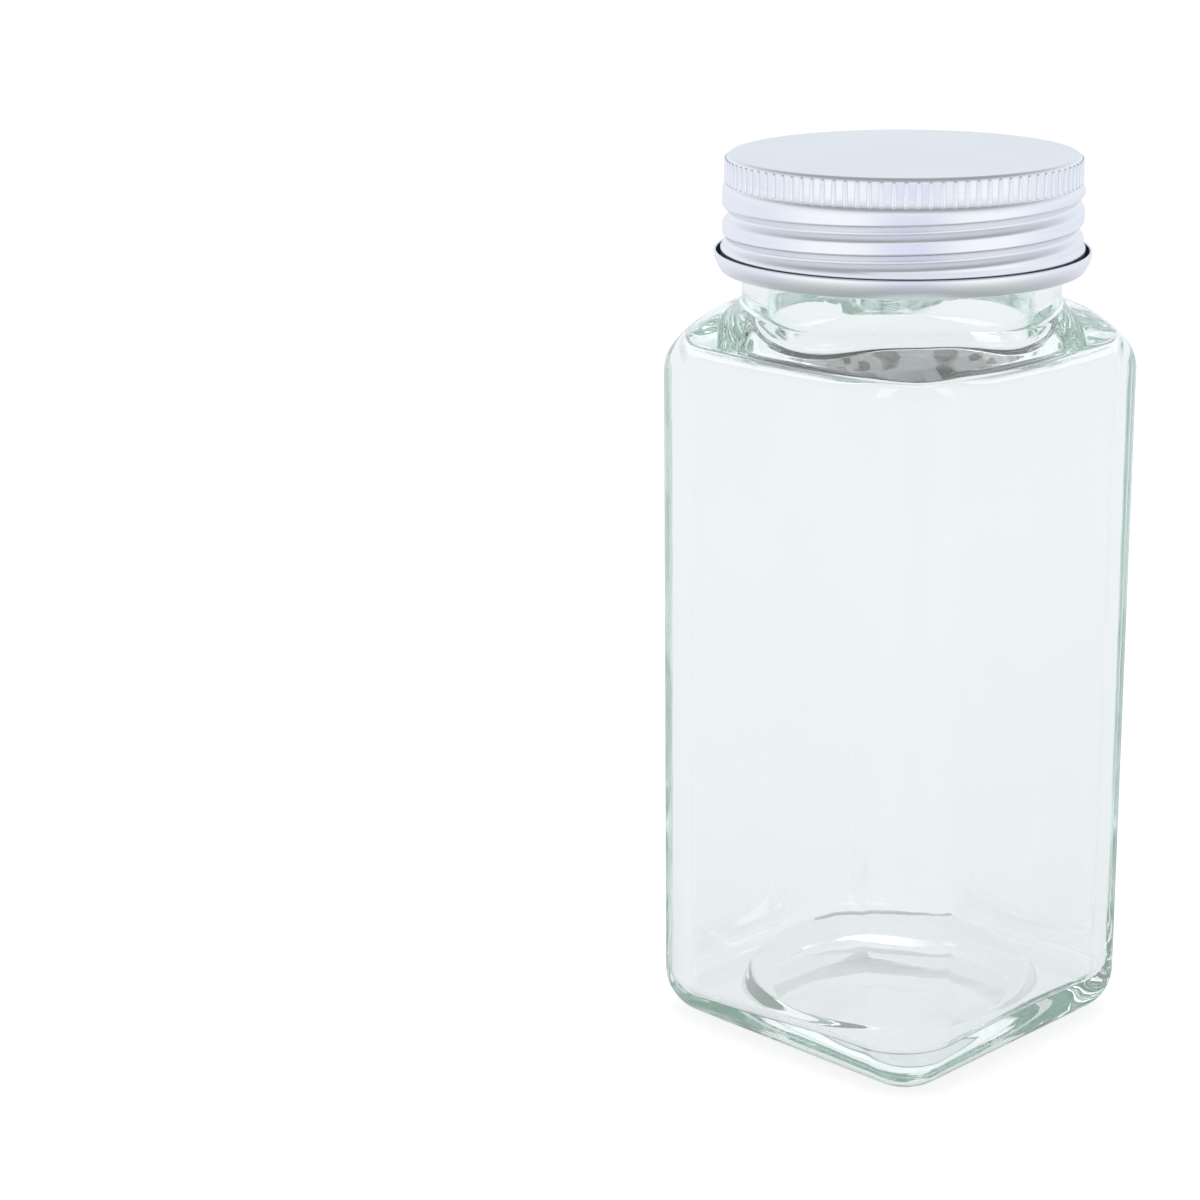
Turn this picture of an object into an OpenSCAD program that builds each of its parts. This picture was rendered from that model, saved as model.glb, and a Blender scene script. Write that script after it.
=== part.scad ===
// Square spice jar with a sifter insert and a screw cap, in millimetres.
// The origin is the middle of the base, the flat sides face X and Y, and Z is up.

/* [Jar body] */
// Width across the flat sides
body_w = 42.5; // [41:0.1:50]
// Radius of the upright corners, seen from above
corner_r = 6.5; // [5.6:0.1:9]
// Radius of the heel between the sides and the base
heel_r = 5.5; // [3:0.1:5.5]
// Height where the flat sides start to arch inwards
side_h = 81.3; // [50:0.1:120]
// Radius of the arch above each flat side
side_arch_r = 12; // [10:0.1:16]
// Thickness of the glass in the sides
wall_t = 2.2; // [1.6:0.1:3]
// Radius of the upright corners inside, seen from above
inner_corner_r = 6; // [4:0.1:8]
// Thickness of the glass in the base, round its thick middle
base_t = 4; // [3:0.1:6]
// Radius inside, between the floor and the walls
floor_r = 1.5; // [0.8:0.1:3]
// Radius of the thick middle of the base, at its foot
middle_r = 17.4; // [12:0.1:17.5]
// Height of the thick middle above the floor round it
middle_h = 2.5; // [1:0.1:4]
// How much narrower the thick middle is at its top
middle_lean = 1.5; // [0.5:0.1:2.5]
// Radius of the push-up under the base
push_up_r = 13; // [8:0.5:14]
// Height of the push-up under the base
push_up_h = 1; // [0.4:0.1:2]

/* [Shoulder] */
// Height from the end of the flat sides to the root of the neck
shoulder_h = 7; // [5:0.1:12]
// Slope of the shoulder where it meets the neck, in degrees
neck_slope = 17; // [8:0.5:25]
// Slope of the shoulder where it meets the corners, in degrees
corner_slope = 52.5; // [40:0.5:65]
// Radius of the edge between the shoulder and the corners
shoulder_edge_r = 3; // [1.5:0.1:4]
// Thickness of the glass from the root of the neck down to the cavity
shoulder_t = 4.7; // [3:0.1:6]
// Radius of the shallow dome inside the shoulder
dome_r = 300; // [100:5:500]
// Radius inside, between that dome and the walls
dome_edge_r = 2.1; // [1.5:0.1:2.6]

/* [Neck] */
// Outer diameter of the neck
neck_d = 36.7; // [34:0.1:38]
// Height of the neck from its root to the lip
neck_h = 14.1; // [13:0.1:18]
// Thickness of the glass in the neck
neck_t = 2.95; // [2.4:0.05:4]
// Radius of the fillet at the root of the neck
root_r = 0.6; // [0.3:0.1:1]
// Radius inside, where the bore opens into the shoulder
throat_r = 1.5; // [0.6:0.1:2.2]
// Radius of the two edges of the lip
lip_r = 0.7; // [0.3:0.1:1]

/* [Thread] */
// Rise of the thread in one turn
pitch = 3.175; // [2.9:0.005:4]
// Height of the glass thread above the neck
thread_h = 1.45; // [1.2:0.05:1.8]
// Width of the glass thread where it leaves the neck
thread_w = 1.9; // [1.6:0.05:2]
// Width of the glass thread at its crest
thread_crest_w = 0.6; // [0.3:0.05:0.9]
// Turns of thread on the glass
thread_turns = 1.5; // [1:0.05:1.6]
// Angle at which the lower end of the glass thread starts, in degrees
thread_start_angle = -205; // [-240:5:-180]
// Angle over which each end of the glass thread runs out, in degrees
thread_fade_angle = 25; // [10:1:40]
// Gap between the closed cap's thread and the glass thread, along the axis
flank_gap = 0.2; // [0.15:0.05:0.4]
// Gap between the crest of the glass thread and the cap
crest_gap = 0.5; // [0.35:0.05:0.6]

/* [Cap] */
// Thickness of the aluminium sheet
shell_t = 0.3; // [0.2:0.05:0.4]
// Height of the cap from its curl to its top
cap_h = 12.85; // [12.3:0.05:15]
// Radius of the edge of the top
top_edge_r = 0.6; // [0.45:0.05:1]
// Number of knurls
knurl_count = 95; // [60:1:120]
// Height of the knurled band
knurl_h = 2.75; // [1.5:0.05:3]
// Depth of the knurls
knurl_depth = 0.25; // [0.15:0.05:0.4]
// How far the knurled band lies inside the plain band below it
band_step = 0.4; // [0.2:0.05:0.5]
// Height of the round that leads out to the plain band
band_round_h = 0.8; // [0.5:0.05:1]
// Depth of the rolled thread groove
groove_depth = 0.75; // [0.6:0.05:0.9]
// Width of the rolled thread groove at the cap's surface
groove_w = 1.9; // [1.6:0.05:2]
// Turns of rolled thread in the cap
groove_turns = 1.6; // [1:0.05:1.65]
// Angle at which the lower end of the rolled groove starts, in degrees
groove_start_angle = -154; // [-170:1:-120]
// Angle over which each end of the rolled groove runs out, in degrees
groove_fade_angle = 30; // [10:1:40]
// Height of the lower groove above the cap's lower edge, at the right-hand side
groove_lift = 4.15; // [4:0.05:4.5]
// How far the skirt flares out above the curl
flare = 0.2; // [0.1:0.05:0.3]
// How far the curl stands out from the skirt
curl_out = 0.8; // [0.6:0.05:1.2]
// Height of the curl
curl_h = 2; // [1.6:0.1:2.4]

/* [Insert] */
// Thickness of the flange that sits on the lip
flange_t = 1; // [0.6:0.1:1.5]
// How far the flange's edge stays inside the neck's outer face
flange_inset = 0.25; // [0.1:0.05:1]
// Depth of the plug below the flange
plug_h = 8; // [6:0.1:10]
// Thickness of the plug's skirt
plug_t = 1; // [0.7:0.1:1.4]
// Gap between the plug and the bore
plug_gap = 0.15; // [0.05:0.05:0.3]
// Height of the sealing ribs above the plug
rib_h = 0.2; // [0.1:0.05:0.3]
// How far the sifter disc is sunk below the flange's top
disc_sink = 1.8; // [1.2:0.1:3]
// Thickness of the sifter disc
disc_t = 1; // [0.7:0.1:1.5]
// Diameter of the shake holes
hole_d = 3; // [2:0.1:3.4]
// Distance between the rings of holes
hole_spacing = 4.7; // [4.2:0.1:4.9]

/* [Liner] */
// Thickness of the foam liner
liner_t = 1.5; // [0.8:0.1:2]
// Gap between the liner's edge and the inside of the cap
liner_gap = 0.25; // [0.1:0.05:0.5]

/* [Hidden] */
$fn = 180;

// How far a cutting shape runs past the face that it cuts
overrun = 1;
// How deep the root of the glass thread is buried in the neck
thread_bury = 0.15;

// Glass jar
body_half = body_w / 2;
neck_r = neck_d / 2;
bore_r = neck_r - neck_t;
root_z = side_h + shoulder_h;
lip_z = root_z + neck_h;
corner_reach = reach_of(body_half, corner_r);
crown_r = (corner_reach - neck_r) / (sin(corner_slope) - sin(neck_slope));
crown_at = [neck_r - crown_r * sin(neck_slope), root_z - crown_r * cos(neck_slope)];
dome_z = root_z - shoulder_t;
throat_foot_r = bore_r + throat_r;
push_up_sphere_r = (push_up_r * push_up_r + push_up_h * push_up_h) / (2 * push_up_h);

// Cap
flange_z = lip_z + flange_t;
top_z = flange_z + liner_t + shell_t;
cap_z = top_z - cap_h;
thread_r = neck_r + thread_h;
cap_r = thread_r + crest_gap + shell_t;
band_r = cap_r - band_step;
knurl_z = top_z - top_edge_r * 3 / 4 - knurl_h;
band_round_r = (band_step * band_step + band_round_h * band_round_h) / (2 * band_step);
hem_r = cap_r + flare;
curl_r = hem_r + curl_out;
curl_bend_r = (curl_out + shell_t) / 2;
curl_at = [curl_r - curl_bend_r, cap_z + curl_bend_r];
hem_top_z = cap_z + curl_h + shell_t;

// Heights of both helices at angle 0, and the angle between two of their sections
groove_z = cap_z + groove_lift;
thread_z = groove_z + thread_crest_w / 2 + groove_w / 4 + flank_gap;
helix_step_angle = 7.5;

// Section of the rolled groove: shares of its depth and of its width
rolled_shares = [[0, -0.5], [0, 0.5], [0.35, 0.36], [0.85, 0.18], [1, 0], [0.85, -0.18], [0.35, -0.36]];

// Corners of one knurl, as shares of the angle between two knurls: its valley, then both ends of its crest
knurl_shares = [0, 0.35, 0.65];

// Places of the sealing ribs, as shares of the plug's depth
rib_shares = [0.4, 0.7];

// Insert
plug_r = bore_r - plug_gap;
disc_z = flange_z - disc_sink;
disc_r = plug_r - plug_t;
plug_z = lip_z - plug_h;
rib_r = plug_r + rib_h;

// Points along an arc about a centre, from one angle to another
function arc(at, r, from, to, steps = 8) =
    [for (i = [0 : steps]) at + r * [cos(from + (to - from) * i / steps), sin(from + (to - from) * i / steps)]];

// How far a square with round corners reaches along its diagonal
function reach_of(half, r) = half * sqrt(2) - r * (sqrt(2) - 1);

// Share of its full height that a helix has at an angle, fading in and out at its ends
function faded(angle, from, to, fade) = min(1, max(0.02, min(angle - from, to - angle) / fade));

// A bar of constant section wound up a cylinder; section points are [height off the base, rise]
module helix(base_r, section, zero_z, from, turns, fade) {
    to = from + turns * 360;
    steps = round((to - from) / helix_step_angle);
    sides = len(section);
    points = [for (i = [0 : steps], p = section)
        let (angle = from + (to - from) * i / steps, r = base_r + p[0] * faded(angle, from, to, fade))
        [r * cos(angle), r * sin(angle), zero_z + pitch * angle / 360 + p[1]]];
    flanks = [for (i = [0 : steps - 1], j = [0 : sides - 1])
        [i * sides + j, i * sides + (j + 1) % sides, (i + 1) * sides + (j + 1) % sides, (i + 1) * sides + j]];
    start = [for (j = [sides - 1 : -1 : 0]) j];
    end = [for (j = [0 : sides - 1]) steps * sides + j];
    polyhedron(points, concat([start, end], flanks));
}

// Half of an upright section, from the centre of a corner out to the face, up to an arch from a given height
module side_section(r, bottom_z, heel, top_z, arch) {
    arch_turn = acos(max(0, arch - r) / arch);
    polygon(concat(
        [[0, bottom_z]],
        arc([r - heel, bottom_z + heel], heel, -90, 0),
        arc([r - arch, top_z], arch, 0, arch_turn),
        arch < r ? [[0, top_z + arch]] : []
    ));
}

// That section carried round a square with round corners
module square_body(half, r, bottom_z, heel, top_z, arch) {
    flat = half - r;
    arch_h = arch * sin(acos(max(0, arch - r) / arch));
    translate([-flat, -flat, bottom_z]) cube([2 * flat, 2 * flat, top_z + arch_h - bottom_z]);
    for (turn = [0 : 90 : 270]) rotate(turn) {
        translate([flat, flat, 0]) rotate_extrude(angle = 90) side_section(r, bottom_z, heel, top_z, arch);
        translate([flat, 0, 0]) rotate([90, 0, 0]) linear_extrude(2 * flat, center = true)
            side_section(r, bottom_z, heel, top_z, arch);
    }
}

// Upright section under an arc about a given centre, with a round edge where it reaches furthest
module crown_section(at, arc_r, reach, edge_r) {
    run = reach - edge_r - at[0];
    rise = sqrt((arc_r - edge_r) * (arc_r - edge_r) - run * run);
    join = atan2(rise, run);
    polygon(concat(
        [[0, 0], [reach, 0]],
        arc(at + [run, rise], edge_r, 0, join),
        arc(at, arc_r, join, 90),
        at[0] > 0 ? [[0, at[1] + arc_r]] : []
    ));
}

// Neck with its rounded lip and the fillet at its root
module neck_section() {
    root_x = neck_r + root_r;
    root_run = root_x - crown_at[0];
    root_rise = sqrt((crown_r + root_r) * (crown_r + root_r) - root_run * root_run);
    root = arc([root_x, crown_at[1] + root_rise], root_r, 180 + atan2(root_rise, root_run), 180);
    polygon(concat(
        [[0, root_z - root_r], [root[0][0], root_z - root_r]],
        root,
        arc([neck_r - lip_r, lip_z - lip_r], lip_r, 0, 90),
        [[0, lip_z]]
    ));
}

// Bore with the rounded inner edge of the lip and the rounded throat below
module bore_section() {
    polygon(concat(
        [[0, dome_z - dome_edge_r], [throat_foot_r, dome_z - dome_edge_r]],
        arc([throat_foot_r, dome_z + throat_r], throat_r, 270, 180),
        arc([bore_r + lip_r, lip_z - lip_r], lip_r, 180, 90),
        [[bore_r + lip_r, lip_z + overrun], [0, lip_z + overrun]]
    ));
}

module cavity() {
    half = body_half - wall_t;
    dome_at = [0, dome_z - sqrt(dome_r * dome_r - throat_foot_r * throat_foot_r)];
    difference() {
        intersection() {
            square_body(half, inner_corner_r, base_t, floor_r, dome_z - dome_edge_r, dome_edge_r);
            rotate_extrude() crown_section(dome_at, dome_r, reach_of(half, inner_corner_r), dome_edge_r);
        }
        rotate_extrude() polygon([
            [0, base_t - overrun],
            [middle_r, base_t - overrun],
            [middle_r, base_t],
            [middle_r - middle_lean, base_t + middle_h],
            [0, base_t + middle_h]
        ]);
    }
    rotate_extrude() bore_section();
}

module glass_thread() {
    base_r = neck_r - thread_bury;
    shoulder_x = thread_h - thread_bury;
    section = [
        [0, -thread_w / 2],
        [shoulder_x, -thread_crest_w],
        [thread_h + thread_bury, -thread_crest_w / 2],
        [thread_h + thread_bury, thread_crest_w / 2],
        [shoulder_x, thread_crest_w],
        [0, thread_w / 2]
    ];
    helix(base_r, section, thread_z, thread_start_angle, thread_turns, thread_fade_angle);
}

module glass_jar() {
    color("#cfe0de") difference() {
        union() {
            intersection() {
                square_body(body_half, corner_r, 0, heel_r, side_h, side_arch_r);
                rotate_extrude() crown_section(crown_at, crown_r, corner_reach, shoulder_edge_r);
            }
            rotate_extrude() neck_section();
            glass_thread();
        }
        cavity();
        translate([0, 0, push_up_h - push_up_sphere_r]) sphere(push_up_sphere_r);
    }
}

module shaker_insert() {
    flange_r = neck_r - flange_inset;
    edge = flange_t / 4;
    lead_in = plug_t / 2;
    color("#f2f2ee") difference() {
        union() {
            rotate_extrude() polygon([
                [0, disc_z - disc_t],
                [disc_r, disc_z - disc_t],
                [disc_r, plug_z],
                [plug_r - lead_in, plug_z],
                [plug_r, plug_z + 2 * lead_in],
                [plug_r, lip_z],
                [flange_r, lip_z],
                [flange_r, flange_z - edge],
                [flange_r - edge, flange_z],
                [disc_r + edge, flange_z],
                [disc_r, flange_z - edge],
                [disc_r, disc_z],
                [0, disc_z]
            ]);
            for (share = rib_shares) translate([0, 0, lip_z - share * plug_h])
                rotate_extrude() polygon([
                    [plug_r - lead_in, -rib_h - lead_in],
                    [rib_r, -rib_h / 2],
                    [rib_r, rib_h / 2],
                    [plug_r - lead_in, rib_h + lead_in]
                ]);
        }
        for (ring = [0 : 2], i = [0 : max(0, 6 * ring - 1)])
            rotate(ring == 0 ? 0 : 60 * i / ring) translate([ring * hole_spacing, 0, disc_z - disc_t - overrun])
                cylinder(h = disc_t + 2 * overrun, d = hole_d);
    }
}

module cap_liner() {
    liner_r = band_r - top_edge_r - liner_gap;
    color("#f7f7f4") translate([0, 0, flange_z]) cylinder(h = liner_t, r = liner_r);
}

// The sheet of the cap in section, without its knurls and thread
module shell_section() {
    top_at = [band_r - top_edge_r, top_z - top_edge_r];
    round_at = [cap_r - band_round_r, knurl_z - band_round_h];
    round_end = asin(band_round_h / band_round_r);
    flare_z = hem_top_z + shell_t;
    tip_at = [curl_r - shell_t / 2, cap_z + curl_h - shell_t / 2];
    polygon(concat(
        [[0, top_z]],
        arc(top_at, top_edge_r, 90, 0),
        arc(round_at, band_round_r, round_end, 0),
        [[cap_r, flare_z], [hem_r, hem_top_z]],
        arc(curl_at, curl_bend_r - shell_t, 180, 360),
        arc(tip_at, shell_t / 2, 180, 0),
        arc(curl_at, curl_bend_r, 360, 180),
        [[hem_r - shell_t, hem_top_z], [cap_r - shell_t, flare_z]],
        arc(round_at, band_round_r - shell_t, 0, round_end),
        arc(top_at, top_edge_r - shell_t, 0, 90),
        [[0, top_z - shell_t]]
    ));
}

// A ring of knurls round the shell, whose valleys and inside lie within the sheet
module knurled_band() {
    step = 360 / knurl_count;
    valley_r = band_r - shell_t / 4;
    crest_r = band_r + knurl_depth;
    translate([0, 0, knurl_z]) linear_extrude(knurl_h) difference() {
        polygon([for (i = [0 : knurl_count - 1], share = knurl_shares)
            let (r = share == 0 ? valley_r : crest_r, angle = (i + share) * step)
            r * [cos(angle), sin(angle)]]);
        circle(band_r - shell_t * 3 / 4);
    }
}

// A turn and a half of rolled thread, as the shape of one face of the sheet
module rolled_thread(base_r, depth, width) {
    section = [for (share = rolled_shares) [-share[0] * depth, share[1] * width]];
    helix(base_r, section, groove_z, groove_start_angle, groove_turns, groove_fade_angle);
}

module cap_shell() {
    rolled_depth = groove_depth + shell_t / 2;
    color("#c9cbd6") difference() {
        union() {
            rotate_extrude() shell_section();
            knurled_band();
            rolled_thread(cap_r - shell_t / 2, rolled_depth, groove_w + shell_t);
        }
        rolled_thread(cap_r + shell_t / 2, rolled_depth, groove_w + shell_t);
    }
}

glass_jar();
shaker_insert();
cap_liner();
cap_shell();
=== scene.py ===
import math

import bpy
import numpy as np
from mathutils import Matrix, Vector


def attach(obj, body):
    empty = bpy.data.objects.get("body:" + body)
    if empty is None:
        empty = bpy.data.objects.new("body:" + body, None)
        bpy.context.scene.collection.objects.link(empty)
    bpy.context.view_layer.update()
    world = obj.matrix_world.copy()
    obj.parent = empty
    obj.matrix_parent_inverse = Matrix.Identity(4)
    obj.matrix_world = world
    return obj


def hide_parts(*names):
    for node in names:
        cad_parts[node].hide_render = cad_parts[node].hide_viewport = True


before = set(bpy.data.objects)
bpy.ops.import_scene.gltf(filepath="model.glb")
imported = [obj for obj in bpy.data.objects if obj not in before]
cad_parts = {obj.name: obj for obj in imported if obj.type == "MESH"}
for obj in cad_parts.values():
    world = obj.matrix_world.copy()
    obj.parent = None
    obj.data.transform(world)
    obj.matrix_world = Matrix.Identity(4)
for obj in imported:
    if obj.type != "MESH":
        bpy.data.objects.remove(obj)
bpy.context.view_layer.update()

# ---------------------------------------------------------------------------
# Glass jar
# One bottle of clear soda-lime glass, pressed with a thick round floor and then blown out into a
# square mould. Its outside is crisp and even, its inside softer. The thread is part of the neck.

body_half, corner_r, heel_r = 21.25, 6.5, 5.5
side_h, arch_r, wall_t, trough_h, floor_r = 81.3, 12.0, 2.2, 4.0, 1.5
push_up_r, push_up_h = 13.0, 0.3
middle_foot, middle_top, middle_z, middle_slope = 17.4, 15.9, 6.5, 0.05
inner_corner, dome_z, dome_edge_r, dome_r = 6.0, 83.6, 2.1, 300.0
neck_r, bore_r, root_z, lip_z = 18.35, 15.4, 88.3, 102.4
root_r, throat_r, lip_r = 0.6, 0.6, 0.7
pitch, thread_h, thread_half_w, thread_z = 3.175, 1.45, 0.95, 97.475
wall_wave, trough_tilt, trough_mean = 0.05, 1.1, trough_h + 0.1
root_lean, throat_lean, low_side = math.radians(17), math.radians(3), math.radians(68)
crown_foot, crown_edge_r, outer_seam, inner_seam = math.radians(52.5), 3.0, 4.5, 0.3
per_side, per_corner = 18, 28
jar_columns = 4 * (2 * per_side + per_corner)
corner_reach = body_half * math.sqrt(2) - corner_r * (math.sqrt(2) - 1)
crown_r = (corner_reach - neck_r) / (math.sin(crown_foot) - math.sin(root_lean))
crown_x = neck_r - crown_r * math.sin(root_lean)
crown_z = root_z - crown_r * math.cos(root_lean)
corner_at = body_half - corner_r


def smooth_step(x):
    x = np.clip(x, 0, 1)
    return x * x * (3 - 2 * x)


def smooth_min(a, b, width):
    h = np.clip(width - np.abs(a - b), 0, None) / width
    return np.minimum(a, b) - h * h * width / 4


def square_ring(flat, corner, z):
    """Points round a square with round corners, as many on every half side and on every corner."""
    side = flat * np.arange(per_side) / per_side
    turn = np.radians(90) * np.arange(per_corner) / per_corner
    edge = np.full(per_side, flat + corner)
    x = np.concatenate([edge, flat + corner * np.cos(turn), flat - side])
    y = np.concatenate([side, flat + corner * np.sin(turn), edge])
    quarters = [(x, y), (-y, x), (-x, -y), (y, -x)]
    return np.stack([
        np.concatenate([q[0] for q in quarters]),
        np.concatenate([q[1] for q in quarters]),
        np.full(jar_columns, float(z)),
    ], axis=1)


outline = square_ring(corner_at, corner_r, 0)
column_angle = np.arctan2(outline[:, 1], outline[:, 0])
column_x, column_y = np.cos(column_angle), np.sin(column_angle)


def ring_at(radius, z):
    """A ring on the jar's columns; radius and z are numbers, or one value for each column."""
    return np.stack([column_x * radius, column_y * radius, np.zeros(jar_columns) + z], axis=1)


def square_radius(half, corner):
    """How far the round-cornered square reaches along each column."""
    fold = np.abs((column_angle + math.pi / 4) % (math.pi / 2) - math.pi / 4)
    c, s, flat = np.cos(fold), np.sin(fold), half - corner
    along = flat * (c + s)
    on_corner = along + np.sqrt(np.maximum(along ** 2 - 2 * flat ** 2 + corner ** 2, 0))
    return np.where(half * s / c <= flat, half / c, on_corner)


def shoulder_height(x, y, half, corner, side_top, arch, crown_at, crown, reach, edge, soft):
    """Height of the shoulder over a point in plan: an arch over each side, under a round crown."""
    flat = half - corner
    qx, qy = np.abs(x) - flat, np.abs(y) - flat
    outside = np.hypot(np.maximum(qx, 0), np.maximum(qy, 0)) + np.minimum(np.maximum(qx, qy), 0)
    inset = np.clip(corner - outside, 0, arch)
    over_side = side_top + np.sqrt(arch ** 2 - (arch - inset) ** 2)
    run = reach - edge - crown_at[0]
    rise = math.sqrt((crown - edge) ** 2 - run ** 2)
    out = np.hypot(x, y) - crown_at[0]
    over_crown = np.where(
        out < run * crown / (crown - edge),
        crown_at[1] + np.sqrt(np.maximum(crown ** 2 - out ** 2, 0)),
        crown_at[1] + rise + np.sqrt(np.maximum(edge ** 2 - (out - run) ** 2, 0)),
    )
    return smooth_min(over_side, over_crown, soft)


def closed_skin(name, rings):
    """A closed mesh through rings of equally many points, in millimetres, closed at both ends."""
    count = len(rings[0])
    points = np.vstack([rings[0].mean(axis=0)[None], *rings, rings[-1].mean(axis=0)[None]]) / 1000
    j = np.arange(count)
    k = (j + 1) % count
    faces = [(0, 1 + b, 1 + a) for a, b in zip(j.tolist(), k.tolist())]
    for i in range(len(rings) - 1):
        low, high = 1 + i * count, 1 + (i + 1) * count
        faces += np.stack([low + j, low + k, high + k, high + j], axis=1).tolist()
    low, end = 1 + (len(rings) - 1) * count, len(points) - 1
    faces += [(low + a, low + b, end) for a, b in zip(j.tolist(), k.tolist())]
    mesh = bpy.data.meshes.new(name)
    mesh.from_pydata(points.tolist(), [], faces)
    mesh.polygons.foreach_set("use_smooth", [True] * len(mesh.polygons))
    mesh.update()
    piece = bpy.data.objects.new(name, mesh)
    bpy.context.scene.collection.objects.link(piece)
    return piece


rings = []

# Push-up, bearing ring and heel
for share in (0.06, 0.14, 0.23, 0.32, 0.41, 0.5, 0.59, 0.68, 0.77, 0.86, 0.93, 0.98):
    rings.append(ring_at(push_up_r * share, push_up_h * (0.5 + 0.5 * math.cos(math.pi * share))))
rings.append(ring_at(push_up_r + 0.5, 0))
sole = square_ring(corner_at, corner_r - heel_r, 0)
for share in (0.35, 0.7, 0.95):
    rings.append(ring_at(push_up_r + 0.5, 0) * (1 - share) + sole * share)
for turn in np.radians(np.linspace(0, 90, 15)):
    inset = heel_r * (1 - math.sin(turn))
    rings.append(square_ring(corner_at, corner_r - inset, heel_r * (1 - math.cos(turn))))

# Flat sides
for z in np.linspace(heel_r, 79, 17)[1:]:
    rings.append(square_ring(corner_at, corner_r, z))

# Shoulder, from the sides in to the root of the neck
edge_ring = rings[-1]
root_out = neck_r + root_r * (1 - math.sin(root_lean))
for u in np.linspace(0, 1, 30):
    share = 1 - math.cos(u * math.pi / 2)
    x = edge_ring[:, 0] * (1 - share) + column_x * root_out * share
    y = edge_ring[:, 1] * (1 - share) + column_y * root_out * share
    z = shoulder_height(
        x, y, body_half, corner_r, side_h, arch_r, (crown_x, crown_z), crown_r, corner_reach,
        crown_edge_r, outer_seam,
    )
    rings.append(np.stack([x, y, z], axis=1))
root_height = rings[-1][:, 2]
for turn in np.linspace(root_lean, math.pi / 2, 7)[1:]:
    rings.append(ring_at(
        neck_r + root_r - root_r * math.sin(turn),
        root_height + root_r * (math.cos(root_lean) - math.cos(turn)),
    ))

# Neck with its right-handed thread: a round bead that fades in and out
neck_foot = rings[-1][:, 2]
thread_from, thread_to, thread_fade = -205.0, 335.0, 25.0
for share in np.linspace(0, 1, 112)[1:]:
    z = neck_foot * (1 - share) + (lip_z - lip_r) * share
    bead = np.zeros(jar_columns)
    for turns in (-1, 0, 1):
        angle = np.degrees(column_angle) % 360 + 360 * turns
        ends = smooth_step(np.minimum(angle - thread_from, thread_to - angle) / thread_fade)
        off = np.abs(z - thread_z - pitch * angle / 360) / thread_half_w
        bead = np.maximum(bead, ends * np.clip(1 - off ** 3.2, 0, 1) ** 0.8)
    rings.append(ring_at(neck_r + thread_h * bead, z))

# Lip and bore
for turn in np.radians(np.linspace(0, 90, 7)[1:]):
    rings.append(ring_at(
        neck_r - lip_r + lip_r * math.cos(turn), lip_z - lip_r + lip_r * math.sin(turn),
    ))
for turn in np.radians(np.linspace(90, 180, 7)):
    rings.append(ring_at(
        bore_r + lip_r + lip_r * math.cos(turn), lip_z - lip_r + lip_r * math.sin(turn),
    ))
inner_half = body_half - wall_t
inner_out = square_radius(inner_half, inner_corner)
inner_reach = inner_half * math.sqrt(2) - inner_corner * (math.sqrt(2) - 1)
throat_out = bore_r + throat_r * (1 - math.sin(throat_lean))
dome_low = dome_z - math.sqrt(dome_r ** 2 - (bore_r + throat_r) ** 2)


def inner_shoulder(out):
    return shoulder_height(
        column_x * out, column_y * out, inner_half, inner_corner, dome_z - dome_edge_r, dome_edge_r,
        (0, dome_low), dome_r, inner_reach + 5, dome_edge_r, inner_seam,
    )


throat_foot = inner_shoulder(np.full(jar_columns, throat_out)) + throat_r * math.cos(throat_lean)
for share in np.linspace(0, 1, 10)[1:]:
    rings.append(ring_at(bore_r, (lip_z - lip_r) * (1 - share) + throat_foot * share))
for turn in np.linspace(0, math.pi / 2 - throat_lean, 8)[1:]:
    rings.append(ring_at(
        bore_r + throat_r * (1 - math.cos(turn)), throat_foot - throat_r * math.sin(turn),
    ))

# Inside of the shoulder, then the walls down to the trough round the thick round floor
for u in np.linspace(0, 1, 34)[1:]:
    out = throat_out + (inner_out - throat_out) * math.sin(u * math.pi / 2)
    rings.append(ring_at(out, inner_shoulder(out)))
for z in np.linspace(79.5, 14, 22):
    wave = wall_wave * np.sin(3 * column_angle + z / 9) * np.sin(z / 6.5 + 1)
    rings.append(ring_at(inner_out + wave * smooth_step((z - 8) / 12), z))
trough_z = trough_mean + trough_tilt * np.cos(column_angle)
for share in np.linspace(0, 1, 7)[1:]:
    rings.append(ring_at(inner_out, 14 * (1 - share) + (trough_z + floor_r) * share))
for turn in np.radians(np.linspace(0, 90, 9)[1:]):
    inset = floor_r * (1 - math.cos(turn))
    out = square_radius(inner_half - inset, inner_corner - inset)
    rings.append(ring_at(out, trough_z + floor_r * (1 - math.sin(turn))))
trough_out = out


def middle_height(out):
    """Height of the thick middle of the floor, which set a little lower on one side."""
    return middle_z - middle_slope * (middle_top + out * np.cos(column_angle + low_side))


for share in np.linspace(0, 1, 9)[1:]:
    rings.append(ring_at(trough_out * (1 - share) + middle_foot * share, trough_z))
for share in np.linspace(0, 1, 15)[1:]:
    rise = smooth_step(share)
    height = trough_z * (1 - rise) + middle_height(middle_top) * rise
    rings.append(ring_at(middle_foot * (1 - share) + middle_top * share, height))
for share in (0.96, 0.9, 0.8, 0.65, 0.5, 0.35, 0.2, 0.08):
    rings.append(ring_at(middle_top * share, middle_height(middle_top * share)))

glass_jar = closed_skin("jar_glass", rings)


def new_finish(name):
    """A new material, its node tree, its shader and the piece's own coordinates."""
    finish = bpy.data.materials.new(name)
    finish.use_nodes = True
    tree = finish.node_tree
    place = tree.nodes.new("ShaderNodeTexCoord")
    return finish, tree, tree.nodes["Principled BSDF"], place.outputs["Object"]


def noise(tree, place, scale, detail):
    node = tree.nodes.new("ShaderNodeTexNoise")
    node.inputs["Scale"].default_value = scale
    node.inputs["Detail"].default_value = detail
    tree.links.new(place, node.inputs["Vector"])
    return node.outputs["Fac"]


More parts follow.
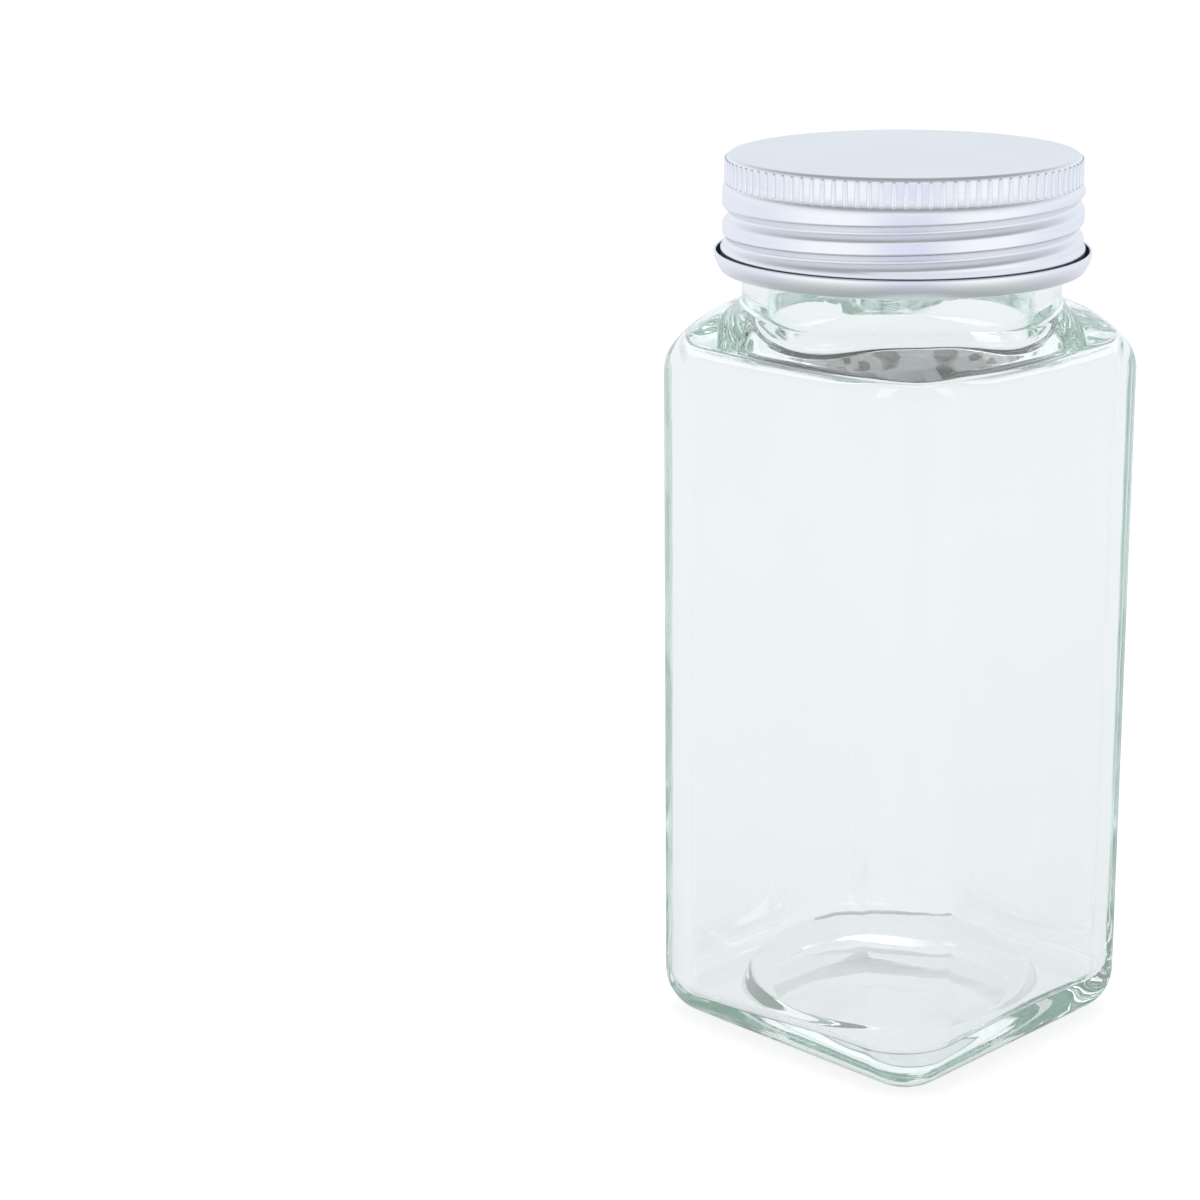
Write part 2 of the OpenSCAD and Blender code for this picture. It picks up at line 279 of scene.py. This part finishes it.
def vary_colour(tree, pattern, first, second, shader):
    node = tree.nodes.new("ShaderNodeMix")
    node.data_type = "RGBA"
    node.inputs["A"].default_value = (*first, 1)
    node.inputs["B"].default_value = (*second, 1)
    tree.links.new(pattern, node.inputs["Factor"])
    tree.links.new(node.outputs["Result"], shader.inputs["Base Color"])


def vary_roughness(tree, pattern, low, high, shader):
    node = tree.nodes.new("ShaderNodeMapRange")
    node.inputs["To Min"].default_value = low
    node.inputs["To Max"].default_value = high
    tree.links.new(pattern, node.inputs["Value"])
    tree.links.new(node.outputs["Result"], shader.inputs["Roughness"])


def add_relief(tree, pattern, strength, depth, shader):
    node = tree.nodes.new("ShaderNodeBump")
    node.inputs["Strength"].default_value = strength
    node.inputs["Distance"].default_value = depth
    tree.links.new(pattern, node.inputs["Height"])
    tree.links.new(node.outputs["Normal"], shader.inputs["Normal"])


glass, tree, shader, place = new_finish("clear_soda_lime_glass")
shader.inputs["Transmission Weight"].default_value = 1
shader.inputs["IOR"].default_value = 1.5
ripple = noise(tree, place, 95, 1.5)
add_relief(tree, ripple, 0.25, 0.0004, shader)
vary_roughness(tree, noise(tree, place, 220, 4), 0.0, 0.03, shader)
vary_colour(tree, ripple, (0.98, 0.995, 0.99), (1, 1, 1), shader)
iron_tint = tree.nodes.new("ShaderNodeVolumeAbsorption")
iron_tint.inputs["Color"].default_value = (0.75, 0.895, 0.83, 1)
iron_tint.inputs["Density"].default_value = 8
tree.links.new(iron_tint.outputs["Volume"], tree.nodes["Material Output"].inputs["Volume"])
glass_jar.data.materials.append(glass)
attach(glass_jar, "jar")
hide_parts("glass_jar")

# ---------------------------------------------------------------------------
# Sifter insert
# A soft polyethylene sifter, moulded in one piece and pushed into the mouth: its flange lies on the
# lip, two ribs grip the bore, and nineteen holes go through the sunk disc.

flange_z, flange_out, disc_z, disc_t, disc_r = 103.4, 18.1, 101.6, 1.0, 14.25
plug_r, plug_low, rib_out = 15.25, 94.4, 15.45
seat_z = lip_z + 0.05  # the flange lies on the lip without wetting it
hole_r, hole_spacing = 1.5, 4.7


def round_ring(radius, z, count):
    turn = 2 * math.pi * np.arange(count) / count
    return np.stack([radius * np.cos(turn), radius * np.sin(turn), np.zeros(count) + z], axis=1)


def lathe(name, profile, count):
    """A closed mesh turned from (radius, height) points that start and end near the axis."""
    return closed_skin(name, [round_ring(r, z, count) for r, z in profile])


def arc_points(x, z, r, start, end, steps):
    return [
        (x + r * math.cos(math.radians(a)), z + r * math.sin(math.radians(a)))
        for a in np.linspace(start, end, steps + 1)
    ]


profile = [(0.6, disc_z - disc_t), (6, disc_z - disc_t)]
profile += [(disc_r - 0.4, disc_z - disc_t)]
profile += arc_points(disc_r - 0.3, disc_z - disc_t - 0.3, 0.3, 90, 0, 4)
profile += [(disc_r, 97.5)] + arc_points(disc_r + 0.2, plug_low + 0.2, 0.2, 180, 270, 3)
profile += arc_points(plug_r - 0.5, plug_low + 0.2, 0.2, 270, 340, 3) + [(plug_r, plug_low + 1.2)]
for rib_z in (96.8, 99.2):
    profile += [(plug_r, rib_z - 0.6), (rib_out - 0.04, rib_z - 0.16), (rib_out, rib_z)]
    profile += [(rib_out - 0.04, rib_z + 0.16), (plug_r, rib_z + 0.6)]
profile += arc_points(plug_r + 0.15, seat_z - 0.15, 0.15, 180, 90, 3)
profile += arc_points(flange_out - 0.12, seat_z + 0.12, 0.12, 270, 360, 3)
profile += arc_points(flange_out - 0.3, flange_z - 0.3, 0.3, 0, 90, 5)
profile += arc_points(disc_r + 0.35, flange_z - 0.35, 0.35, 90, 180, 5)
profile += arc_points(disc_r - 0.3, disc_z + 0.3, 0.3, 0, -90, 4) + [(6, disc_z), (0.6, disc_z)]
blank = lathe("insert_blank", profile, 192)

# The cutter of one hole, a little wider at both faces, repeated on rings of 1, 6 and 12
cutter = lathe("hole_cutter", [
    (0.5, disc_z - disc_t - 0.3), (hole_r + 0.25, disc_z - disc_t - 0.3),
    (hole_r + 0.12, disc_z - disc_t), (hole_r, disc_z - disc_t + 0.15),
    (hole_r, disc_z - 0.15), (hole_r + 0.12, disc_z), (hole_r + 0.25, disc_z + 0.3),
    (0.5, disc_z + 0.3),
], 32)


def new_tree(name):
    tree = bpy.data.node_groups.new(name, "GeometryNodeTree")
    tree.interface.new_socket("Geometry", in_out="INPUT", socket_type="NodeSocketGeometry")
    tree.interface.new_socket("Geometry", in_out="OUTPUT", socket_type="NodeSocketGeometry")
    return tree, tree.nodes.new("NodeGroupInput"), tree.nodes.new("NodeGroupOutput")


def named_input(tree, name, kind, value):
    socket = tree.interface.new_socket(name, in_out="INPUT", socket_type=kind)
    socket.default_value = value
    return socket.identifier


def apply_tree(piece, tree, values):
    """Runs the tree on the piece and leaves a plain mesh."""
    modifier = piece.modifiers.new(tree.name, "NODES")
    modifier.node_group = tree
    for identifier, value in values.items():
        modifier[identifier] = value
    graph = bpy.context.evaluated_depsgraph_get()
    made = bpy.data.meshes.new_from_object(piece.evaluated_get(graph), depsgraph=graph)
    piece.modifiers.remove(modifier)
    old = piece.data
    piece.data = made
    bpy.data.meshes.remove(old)
    made.name = piece.name


polythene, tree, shader, place = new_finish("milky_polyethylene")
shader.inputs["Subsurface Weight"].default_value = 0.35
shader.inputs["Subsurface Radius"].default_value = (1.0, 0.9, 0.8)
shader.inputs["Subsurface Scale"].default_value = 0.0012
cloud = noise(tree, place, 160, 3)
vary_colour(tree, cloud, (0.92, 0.93, 0.92), (0.97, 0.97, 0.96), shader)
vary_roughness(tree, cloud, 0.32, 0.48, shader)
add_relief(tree, noise(tree, place, 2600, 2), 0.12, 0.00006, shader)

tree, given, result = new_tree("shake_holes")
cutter_id = named_input(tree, "Cutter", "NodeSocketObject", cutter)
spacing_id = named_input(tree, "Spacing", "NodeSocketFloat", hole_spacing / 1000)
finish_id = named_input(tree, "Finish", "NodeSocketMaterial", polythene)
add = tree.nodes.new
join = add("GeometryNodeJoinGeometry")
for rank, holes in ((0, 1), (1, 6), (2, 12)):
    reach = add("ShaderNodeMath")
    reach.operation = "MULTIPLY"
    reach.inputs[1].default_value = rank
    tree.links.new(given.outputs["Spacing"], reach.inputs[0])
    if holes == 1:
        spots = add("GeometryNodePoints")
        points = spots.outputs["Points"]
    else:
        spots = add("GeometryNodeMeshCircle")
        spots.inputs["Vertices"].default_value = holes
        tree.links.new(reach.outputs[0], spots.inputs["Radius"])
        points = spots.outputs["Mesh"]
    put = add("GeometryNodeInstanceOnPoints")
    tree.links.new(points, put.inputs["Points"])
    shape = add("GeometryNodeObjectInfo")
    tree.links.new(given.outputs["Cutter"], shape.inputs["Object"])
    tree.links.new(shape.outputs["Geometry"], put.inputs["Instance"])
    tree.links.new(put.outputs["Instances"], join.inputs["Geometry"])
real = add("GeometryNodeRealizeInstances")
tree.links.new(join.outputs["Geometry"], real.inputs["Geometry"])
bore = add("GeometryNodeMeshBoolean")
bore.operation = "DIFFERENCE"
bore.solver = "EXACT"
tree.links.new(given.outputs["Geometry"], bore.inputs["Mesh 1"])
tree.links.new(real.outputs["Geometry"], bore.inputs["Mesh 2"])
whole = add("GeometryNodeRealizeInstances")
tree.links.new(bore.outputs["Mesh"], whole.inputs["Geometry"])
paint = add("GeometryNodeSetMaterial")
tree.links.new(whole.outputs["Geometry"], paint.inputs["Geometry"])
tree.links.new(given.outputs["Finish"], paint.inputs["Material"])
tree.links.new(paint.outputs["Geometry"], result.inputs["Geometry"])
apply_tree(blank, tree, {cutter_id: cutter, spacing_id: hole_spacing / 1000, finish_id: polythene})
blank.name = blank.data.name = "sifter_insert"
bpy.data.objects.remove(cutter)
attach(blank, "jar")
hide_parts("shaker_insert")

# ---------------------------------------------------------------------------
# Cap liner
# A disc punched from closed-cell foam sheet, held by its own spring under the top of the cap. Its
# cut edge is soft and its faces are finely pitted.

liner_out, liner_low, liner_top = 19.35, 103.4, 104.9
profile = [(0.8, liner_low), (8, liner_low), (14.2, liner_low), (16, liner_low)]
profile += arc_points(liner_out - 0.25, liner_low + 0.25, 0.25, -90, 0, 4)
profile += arc_points(liner_out - 0.2, liner_top - 0.2, 0.2, 0, 90, 4)
profile += [(10, liner_top), (0.8, liner_top)]
liner = lathe("foam_liner", profile, 144)

foam, tree, shader, place = new_finish("closed_cell_foam")
cells = tree.nodes.new("ShaderNodeTexVoronoi")
cells.inputs["Scale"].default_value = 2400
tree.links.new(place, cells.inputs["Vector"])
# The cells are painted darker at their pits, where the bumps sink: painted shade in the hollows
vary_colour(tree, cells.outputs["Distance"], (0.84, 0.84, 0.82), (0.93, 0.93, 0.91), shader)
vary_roughness(tree, cells.outputs["Distance"], 0.75, 0.95, shader)
add_relief(tree, cells.outputs["Distance"], 0.4, 0.00008, shader)
liner.data.materials.append(foam)
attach(liner, "liner")
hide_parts("cap_liner")

# ---------------------------------------------------------------------------
# Screw cap
# Drawn from thin aluminium sheet: the knurls are pressed into the band under the top, the thread is
# rolled into the side against a mandrel, and the lower edge is curled outwards and left open.

shell_t, cap_out, band_out, hem_out = 0.3, 20.6, 20.2, 20.8
top_z, cap_low, edge_r = 105.2, 92.1, 0.6
knurl_low, knurl_count = 102.0, 95
knurl_w, knurl_h, knurl_depth, knurl_middle = 0.6, 2.9, 0.2, 103.4
groove_z, groove_depth, groove_half_w = 96.5, 0.75, 0.95
groove_from, groove_to, groove_fade = -154.0, 422.0, 30.0
curl_out, curl_face_z, curl_tip = 21.6, 94.1, 94.35
curl_flare, gutter_w, gutter_depth = 1.7, 0.45, 1.3
cap_columns = 288
cap_angle = 360 * np.arange(cap_columns) / cap_columns


def groove_inset(z):
    """How deep the rolled thread presses the sheet in at one height, for each column."""
    inset = np.zeros(cap_columns)
    for turns in (-1, 0, 1):
        angle = cap_angle + 360 * turns
        ends = smooth_step(np.minimum(angle - groove_from, groove_to - angle) / groove_fade)
        off = np.clip(np.abs(z - groove_z - pitch * angle / 360) / groove_half_w, 0, 1)
        valley = 1 - (np.sqrt(off ** 2 + 0.04) - 0.2) / (math.sqrt(1.04) - 0.2)
        inset = np.maximum(inset, ends * (0.2 + 0.2 * np.cos(math.pi * off) + 0.6 * valley))
    return groove_depth * inset


band_round_h, band_round_r = 0.8, 1.0
band_round = [cap_out - band_round_r, knurl_low - band_round_h]
inside = [(r, top_z - shell_t) for r in (0.8, 6, 12, 16)]
inside += arc_points(band_out - edge_r, top_z - edge_r, edge_r - shell_t, 90, 0, 5)
inside += [(band_out - shell_t, 103.4)]
inside += arc_points(band_round[0], band_round[1], band_round_r - shell_t, 53, 0, 6)
outside = arc_points(band_round[0], band_round[1], band_round_r, 0, 53, 6)
outside += [(band_out, 103), (band_out, 104)]
outside += arc_points(band_out - edge_r, top_z - edge_r, edge_r, 0, 90, 8)
outside += [(r, top_z) for r in (18.9, 16, 12, 6, 0.8)]
side_high, side_low = band_round[1], 94.95
rings = [round_ring(r, z, cap_columns) for r, z in inside]
turn = np.radians(cap_angle)


def side_ring(base, z):
    r = base - groove_inset(z)
    return np.stack([r * np.cos(turn), r * np.sin(turn), np.full(cap_columns, z)], axis=1)


side_heights = np.linspace(side_high, side_low, 58)
rings += [side_ring(cap_out - shell_t, z) for z in side_heights[1:]]
hem = [(hem_out - shell_t, 94.65), (hem_out - shell_t, 93.2)]
hem += arc_points(hem_out - shell_t + 0.2, cap_low + 0.2, 0.2, 180, 326, 8)
bend_x, bend_z = hem[-1]
hem += [
    (curl_out - (curl_out - bend_x) * s ** curl_flare, curl_face_z - (curl_face_z - bend_z) * s)
    for s in np.linspace(1, 0, 13)[1:]
]
hem += arc_points(curl_out - shell_t / 2, curl_tip - shell_t / 2, shell_t / 2, 0, 180, 6)
gutter_from = len(rings) + len(hem)
hem += [
    (curl_out - shell_t - gutter_w * s ** curl_flare, curl_face_z - gutter_depth * s)
    for s in np.linspace(0, 1, 9)
]
hem += [(hem_out, 92.95), (hem_out, 94.38)]
rings += [round_ring(r, z, cap_columns) for r, z in hem]
gutter_to = len(rings) - 1
rings.append(round_ring(hem_out, 94.65, cap_columns))
rings += [side_ring(cap_out, z) for z in side_heights[::-1]]
rings += [round_ring(r, z, cap_columns) for r, z in outside[1:]]
cap = closed_skin("cap_shell_metal", rings)

# One knurl, repeated round the band
tree, given, result = new_tree("pressed_knurls")
count_id = named_input(tree, "Count", "NodeSocketInt", knurl_count)
radius_id = named_input(tree, "Radius", "NodeSocketFloat", band_out / 1000)
width_id = named_input(tree, "Width", "NodeSocketFloat", knurl_w / 1000)
height_id = named_input(tree, "Height", "NodeSocketFloat", knurl_h / 1000)
depth_id = named_input(tree, "Depth", "NodeSocketFloat", knurl_depth / 1000)
middle_id = named_input(tree, "Middle", "NodeSocketFloat", knurl_middle / 1000)
finish_id = named_input(tree, "Finish", "NodeSocketMaterial", None)
add, link = tree.nodes.new, tree.links.new


def math_node(operation, a, b):
    node = add("ShaderNodeMath")
    node.operation = operation
    for slot, value in zip(node.inputs, (a, b)):
        if isinstance(value, (int, float)):
            slot.default_value = value
        else:
            link(value, slot)
    return node.outputs[0]


bead = add("GeometryNodeMeshUVSphere")
bead.inputs["Segments"].default_value = 10
bead.inputs["Rings"].default_value = 8
bead.inputs["Radius"].default_value = 1
where = add("GeometryNodeInputPosition")
split = add("ShaderNodeSeparateXYZ")
link(where.outputs["Position"], split.inputs["Vector"])
half_h = math_node("MULTIPLY", given.outputs["Height"], 0.5)
half_w = math_node("MULTIPLY", given.outputs["Width"], 0.5)
straight = math_node("SUBTRACT", half_h, half_w)
up = math_node("MULTIPLY", math_node("SIGN", split.outputs["Z"], 0.0), straight)
z = math_node("ADD", math_node("MULTIPLY", split.outputs["Z"], half_w), up)
shaped = add("ShaderNodeCombineXYZ")
link(math_node("MULTIPLY", split.outputs["X"], given.outputs["Depth"]), shaped.inputs["X"])
link(math_node("MULTIPLY", split.outputs["Y"], half_w), shaped.inputs["Y"])
link(z, shaped.inputs["Z"])
form = add("GeometryNodeSetPosition")
link(bead.outputs["Mesh"], form.inputs["Geometry"])
link(shaped.outputs["Vector"], form.inputs["Position"])
circle = add("GeometryNodeMeshCircle")
link(given.outputs["Count"], circle.inputs["Vertices"])
link(given.outputs["Radius"], circle.inputs["Radius"])
lift = add("ShaderNodeCombineXYZ")
link(given.outputs["Middle"], lift.inputs["Z"])
raised = add("GeometryNodeSetPosition")
link(circle.outputs["Mesh"], raised.inputs["Geometry"])
link(lift.outputs["Vector"], raised.inputs["Offset"])
index = add("GeometryNodeInputIndex")
step = math_node("DIVIDE", 2 * math.pi, given.outputs["Count"])
aim = add("ShaderNodeCombineXYZ")
link(math_node("MULTIPLY", index.outputs["Index"], step), aim.inputs["Z"])
turned = add("FunctionNodeEulerToRotation")
link(aim.outputs["Vector"], turned.inputs["Euler"])
put = add("GeometryNodeInstanceOnPoints")
link(raised.outputs["Geometry"], put.inputs["Points"])
link(form.outputs["Geometry"], put.inputs["Instance"])
link(turned.outputs["Rotation"], put.inputs["Rotation"])
whole = add("GeometryNodeRealizeInstances")
link(put.outputs["Instances"], whole.inputs["Geometry"])
paint = add("GeometryNodeSetMaterial")
link(whole.outputs["Geometry"], paint.inputs["Geometry"])
link(given.outputs["Finish"], paint.inputs["Material"])
link(paint.outputs["Geometry"], result.inputs["Geometry"])

aluminium, finish_tree, shader, place = new_finish("satin_rolled_aluminium")
shader.inputs["Metallic"].default_value = 1
spin = finish_tree.nodes.new("ShaderNodeMapping")
spin.inputs["Scale"].default_value = (90, 90, 2600)
finish_tree.links.new(place, spin.inputs["Vector"])
streaks = noise(finish_tree, spin.outputs["Vector"], 1, 3)
vary_colour(finish_tree, streaks, (0.84, 0.85, 0.895), (0.93, 0.94, 0.97), shader)
vary_roughness(finish_tree, streaks, 0.27, 0.39, shader)
add_relief(finish_tree, streaks, 0.1, 0.00004, shader)

knurls = bpy.data.objects.new("cap_knurls", bpy.data.meshes.new("cap_knurls"))
bpy.context.scene.collection.objects.link(knurls)
apply_tree(knurls, tree, {
    count_id: knurl_count, radius_id: band_out / 1000, width_id: knurl_w / 1000,
    height_id: knurl_h / 1000, depth_id: knurl_depth / 1000, middle_id: knurl_middle / 1000,
    finish_id: aluminium,
})
knurls.data.polygons.foreach_set("use_smooth", [True] * len(knurls.data.polygons))
cap.data.materials.append(aluminium)

# Painted shade inside the curl: the faces of the gutter between the skirt and the curl are coloured
# nearly black, mottled by noise
painted_gutter_shade, finish_tree, shader, place = new_finish("dark_lacquer_in_the_curl")
shade_mottle = noise(finish_tree, place, 900, 3)
vary_colour(finish_tree, shade_mottle, (0.02, 0.03, 0.05), (0.07, 0.08, 0.12), shader)
vary_roughness(finish_tree, shade_mottle, 0.5, 0.7, shader)
cap.data.materials.append(painted_gutter_shade)
# The gutter's faces take the painted shade
for i in range(cap_columns * (gutter_from + 1), cap_columns * (gutter_to + 1)):
    cap.data.polygons[i].material_index = 1
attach(cap, "cap")
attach(knurls, "cap")
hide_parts("cap_shell")

# ---------------------------------------------------------------------------
# Floor, light and camera
# A white table without an end, a bright room and three soft lamps at a plain level. The metal and
# glass mirror the table and the room, a little greyer than the white behind the jar, but no lamp;
# in mirrors the table shows painted reflections.

mesh = bpy.data.meshes.new("floor")
mesh.from_pydata([(-6, -6, 0), (6, -6, 0), (6, 6, 0), (-6, 6, 0)], [], [(0, 1, 2, 3)])
floor = bpy.data.objects.new("floor", mesh)
bpy.context.scene.collection.objects.link(floor)

table = bpy.data.materials.new("white_table")
table.use_nodes = True
nodes, links = table.node_tree.nodes, table.node_tree.links
nodes.remove(nodes["Principled BSDF"])
out = nodes["Material Output"]
path = nodes.new("ShaderNodeLightPath")


def lit_table(lit, glow, colour):
    surface = nodes.new("ShaderNodeBsdfDiffuse")
    surface.inputs["Color"].default_value = (lit * colour[0], lit * colour[1], lit * colour[2], 1)
    shine = nodes.new("ShaderNodeEmission")
    shine.inputs["Color"].default_value = (*colour, 1)
    shine.inputs["Strength"].default_value = glow
    both = nodes.new("ShaderNodeAddShader")
    links.new(surface.outputs[0], both.inputs[0])
    links.new(shine.outputs[0], both.inputs[1])
    return both.outputs[0]


def choose(ray, otherwise, shown):
    pick = nodes.new("ShaderNodeMixShader")
    links.new(path.outputs[ray], pick.inputs["Fac"])
    links.new(otherwise, pick.inputs[1])
    links.new(shown, pick.inputs[2])
    return pick.outputs[0]


# Mirror rays see painted reflections on the table: a dim grey-green near the jar and, further out,
# a ramp by bearing round the front corner, where the camera stands: a lilac patch straight towards
# the camera, white bands either side of it and grey-lilac behind the jar. The cap mirrors them as
# its highlights.
plain = nodes.new("ShaderNodeBsdfDiffuse")
plain.inputs["Color"].default_value = (0.8, 0.8, 0.8, 1)
spot = nodes.new("ShaderNodeTexCoord")
away = nodes.new("ShaderNodeVectorMath")
away.operation = "LENGTH"
links.new(spot.outputs["Object"], away.inputs[0])
fade = nodes.new("ShaderNodeMapRange")
fade.inputs["From Min"].default_value = 0.06
fade.inputs["From Max"].default_value = 0.26
links.new(away.outputs["Value"], fade.inputs["Value"])
mirrored = nodes.new("ShaderNodeMixShader")
links.new(fade.outputs["Result"], mirrored.inputs["Fac"])
links.new(lit_table(0.21, 0.22, (0.87, 0.98, 0.93)), mirrored.inputs[1])
parts = nodes.new("ShaderNodeSeparateXYZ")
links.new(spot.outputs["Object"], parts.inputs["Vector"])
bearing = nodes.new("ShaderNodeMath")
bearing.operation = "ARCTAN2"
links.new(parts.outputs["Y"], bearing.inputs[0])
links.new(parts.outputs["X"], bearing.inputs[1])
aside = nodes.new("ShaderNodeMath")
aside.operation = "ADD"
aside.inputs[1].default_value = math.radians(44.5)  # the front corner's bearing
links.new(bearing.outputs[0], aside.inputs[0])
aside_size = nodes.new("ShaderNodeMath")
aside_size.operation = "ABSOLUTE"
links.new(aside.outputs[0], aside_size.inputs[0])
part_turn = nodes.new("ShaderNodeMath")
part_turn.operation = "DIVIDE"
part_turn.inputs[1].default_value = math.pi
links.new(aside_size.outputs[0], part_turn.inputs[0])
painted_reflection_ramp = nodes.new("ShaderNodeValToRGB")
painted_reflection_ramp.color_ramp.elements[0].position = 0.07
painted_reflection_ramp.color_ramp.elements[0].color = (0.70, 0.73, 0.88, 1)
painted_reflection_ramp.color_ramp.elements[1].position = 0.16
painted_reflection_ramp.color_ramp.elements[1].color = (1, 1, 1, 1)
for at, shade in ((0.36, (0.98, 0.98, 1)), (0.50, (0.78, 0.80, 0.87)), (1.0, (0.80, 0.82, 0.88))):
    painted_reflection_ramp.color_ramp.elements.new(at).color = (*shade, 1)
links.new(part_turn.outputs[0], painted_reflection_ramp.inputs["Fac"])
far_table_painted_reflection = nodes.new("ShaderNodeEmission")
far_table_painted_reflection.inputs["Strength"].default_value = 1.13
links.new(painted_reflection_ramp.outputs["Color"], far_table_painted_reflection.inputs["Color"])
links.new(far_table_painted_reflection.outputs[0], mirrored.inputs[2])
face = choose("Is Glossy Ray", plain.outputs[0], mirrored.outputs[0])
face = choose("Is Transmission Ray", face, lit_table(0.15, 0.78, (0.945, 0.975, 1.0)))
face = choose("Is Camera Ray", face, lit_table(0.35, 0.74, (1, 1, 1)))
links.new(face, out.inputs["Surface"])
floor.data.materials.append(table)

world = bpy.data.worlds.new("bright_room")
bpy.context.scene.world = world
world.use_nodes = True
nodes, links = world.node_tree.nodes, world.node_tree.links
nodes.clear()
path = nodes.new("ShaderNodeLightPath")


def room(colour, strength):
    light = nodes.new("ShaderNodeBackground")
    light.inputs["Color"].default_value = (*colour, 1)
    light.inputs["Strength"].default_value = strength
    return light.outputs[0]


sky = nodes.new("ShaderNodeTexCoord")
height = nodes.new("ShaderNodeSeparateXYZ")
links.new(sky.outputs["Generated"], height.inputs["Vector"])
overhead = nodes.new("ShaderNodeMapRange")
overhead.inputs["From Min"].default_value = 0.36
overhead.inputs["From Max"].default_value = 0.78
links.new(height.outputs["Z"], overhead.inputs["Value"])
mirrored = nodes.new("ShaderNodeMixShader")
links.new(overhead.outputs["Result"], mirrored.inputs["Fac"])
links.new(room((0.90, 0.95, 1.0), 1.02), mirrored.inputs[1])
links.new(room((0.86, 0.90, 0.92), 0.42), mirrored.inputs[2])
face = choose("Is Glossy Ray", room((1, 1, 1), 0.72), mirrored.outputs[0])
face = choose("Is Transmission Ray", face, room((0.95, 0.975, 1.0), 1.04))
face = choose("Is Camera Ray", face, room((1, 1, 1), 1.0))
out = nodes.new("ShaderNodeOutputWorld")
links.new(face, out.inputs["Surface"])


def soft_lamp(name, place, aim, size, watts):
    data = bpy.data.lights.new(name, "AREA")
    data.shape = "RECTANGLE"
    data.size, data.size_y = size
    data.energy = watts
    lamp = bpy.data.objects.new(name, data)
    bpy.context.scene.collection.objects.link(lamp)
    lamp.location = place
    lamp.rotation_euler = (Vector(aim) - Vector(place)).to_track_quat("-Z", "Y").to_euler()
    lamp.visible_glossy = False


soft_lamp("left_box", (-0.25, -0.75, 0.36), (0, 0, 0.06), (0.5, 0.6), 1.5)
soft_lamp("right_box", (0.80, 0.15, 0.34), (0, 0, 0.06), (0.4, 0.6), 1.2)
soft_lamp("top_box", (0.0, 0.0, 0.9), (0, 0, 0.05), (0.7, 0.7), 2.5)

# The camera stands 36 cm off in front of one upright corner, a little above the cap, and looks
# slightly down
down_tilt, roll, heading = math.radians(16.377), math.radians(-0.596), math.radians(45.48)
back, leftward, above, aim_h = 357.83, 35.04, 0.52, 52
focal_px, frame_px, film_w = 3015.5, 1200, 36
forward = Vector((0, math.cos(down_tilt), -math.sin(down_tilt)))
right = Vector((1, 0, 0))
down = Vector((0, -math.sin(down_tilt), -math.cos(down_tilt)))
stand = -back * forward - leftward * right - above * down + Vector((0, 0, aim_h))
across = math.cos(roll) * right - math.sin(roll) * down
upward = -(math.sin(roll) * right + math.cos(roll) * down)
about_z = Matrix.Rotation(heading, 4, "Z")
turn_to = Matrix((across, upward, -forward)).transposed().to_4x4()
camera = bpy.data.objects.new("camera", bpy.data.cameras.new("camera"))
bpy.context.scene.collection.objects.link(camera)
camera.matrix_world = about_z @ Matrix.Translation(stand / 1000) @ turn_to
camera.data.sensor_width = film_w
camera.data.lens = film_w * focal_px / frame_px
camera.data.clip_start = 0.01
camera.data.clip_end = 50
bpy.context.scene.camera = camera
bpy.context.scene.view_settings.view_transform = "Standard"
bpy.context.scene.cycles.max_bounces = 96
bpy.context.scene.cycles.diffuse_bounces = 12
bpy.context.scene.cycles.glossy_bounces = 64
bpy.context.scene.cycles.transmission_bounces = 96
